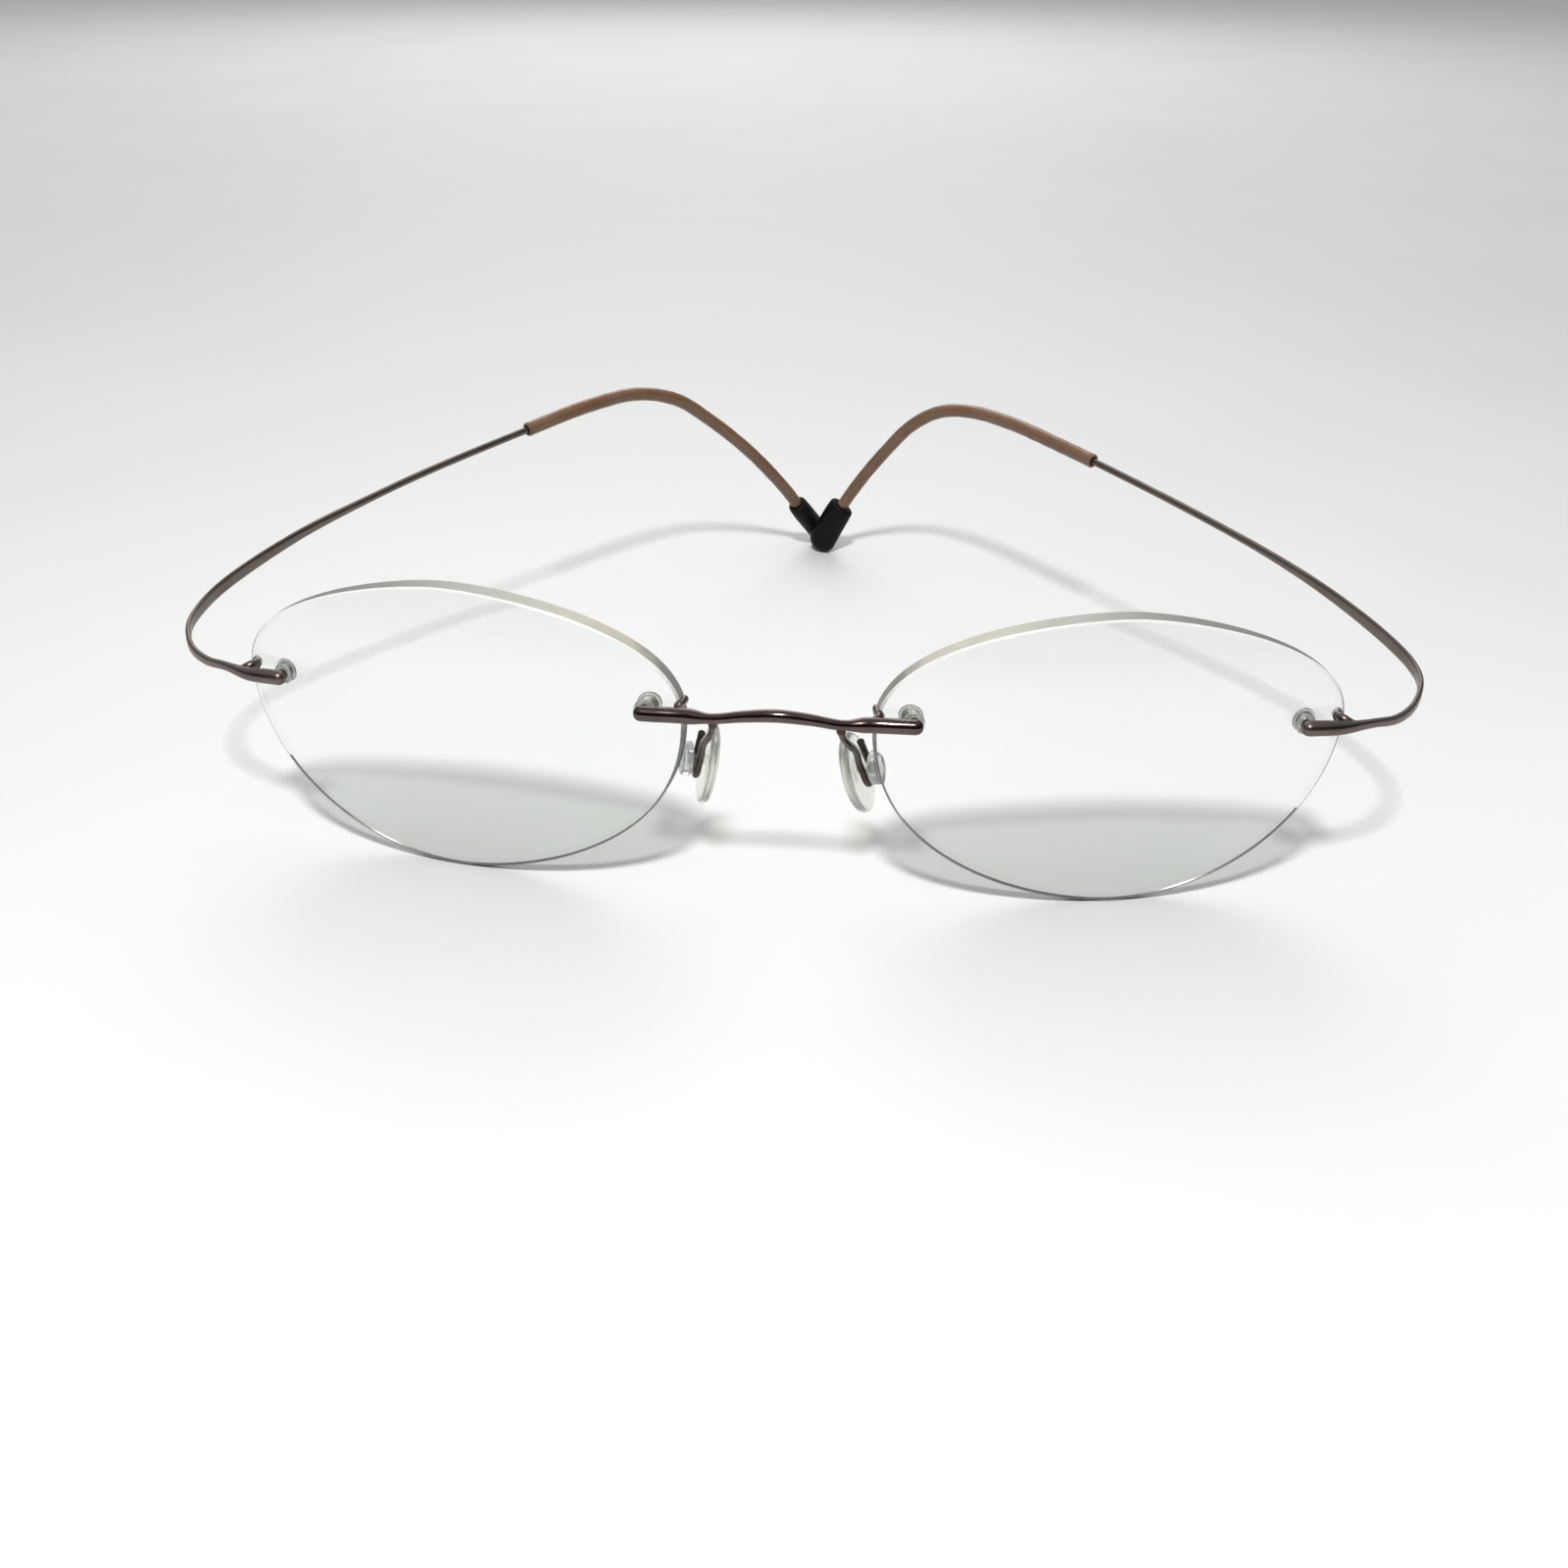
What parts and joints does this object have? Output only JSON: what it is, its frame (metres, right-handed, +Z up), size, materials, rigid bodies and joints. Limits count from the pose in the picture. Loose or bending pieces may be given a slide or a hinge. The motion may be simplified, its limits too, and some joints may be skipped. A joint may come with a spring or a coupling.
{
  "type": "rimless eyeglasses",
  "caption": "Rimless eyeglasses: clear oval lenses held by a bar bridge and hingeless flexible wire temples, with nose pads, brown sleeves and black end caps.",
  "frame": {"origin": "middle of the footprint on the table, as the glasses stand on the lower edges of the lenses and on the two end caps; the front is at -Y and the temples run back towards +Y", "axes": "+X towards the wearer's left, +Y from the front to the back of the head, +Z up"},
  "size_m": [0.1374, 0.1083, 0.0327],
  "materials": {
    "metal": "dark bronze-brown polished plating",
    "strip": "dark bronze-brown, fine satin",
    "glass": "clear, faintly green-grey, coated",
    "clear": "clear plastic",
    "silicone": "clear, faintly yellow silicone",
    "sleeve": "translucent brown tube",
    "rubber": "matt black"
  },
  "bodies": {
    "front": {"bridge": "metal", "left_lens": "glass", "left_nasal_bush": "clear", "left_nasal_flange": "clear", "left_temporal_bush": "clear", "left_temporal_flange": "clear", "left_pad_arm": "metal", "left_end_piece": "metal", "right_lens": "glass", "right_nasal_bush": "clear", "right_nasal_flange": "clear", "right_temporal_bush": "clear", "right_temporal_flange": "clear", "right_pad_arm": "metal", "right_end_piece": "metal"},
    "left_temple": {"left_temple_wire": "strip", "left_sleeve": "sleeve", "left_end_cap": "rubber"},
    "left_pad": {"left_nose_pad": "silicone", "left_pad_button": "clear"},
    "right_temple": {"right_temple_wire": "strip", "right_sleeve": "sleeve", "right_end_cap": "rubber"},
    "right_pad": {"right_nose_pad": "silicone", "right_pad_button": "clear"}
  },
  "joints": [
    {"name": "left_temple_flex", "type": "hinge", "parent": "front", "child": "left_temple", "pos_m": [0.06735, -0.03721, 0.02071], "axis": [0, 0, -1], "range_deg": [0, 35], "stiffness_Nm_per_rad": 0.03},
    {"name": "right_temple_flex", "type": "hinge", "parent": "front", "child": "right_temple", "pos_m": [-0.06772, -0.03741, 0.02059], "axis": [0, 0, 1], "range_deg": [0, 35], "stiffness_Nm_per_rad": 0.03},
    {"name": "left_pad_rock", "type": "hinge", "parent": "front", "child": "left_pad", "pos_m": [0.009, -0.0466, 0.0134], "axis": [-0.2957, -0.2877, 0.9109], "range_deg": [-8, 8], "stiffness_Nm_per_rad": 0.004},
    {"name": "right_pad_rock", "type": "hinge", "parent": "front", "child": "right_pad", "pos_m": [-0.009, -0.0466, 0.0134], "axis": [0.2203, -0.2937, 0.9302], "range_deg": [-8, 8], "stiffness_Nm_per_rad": 0.004}
  ]
}
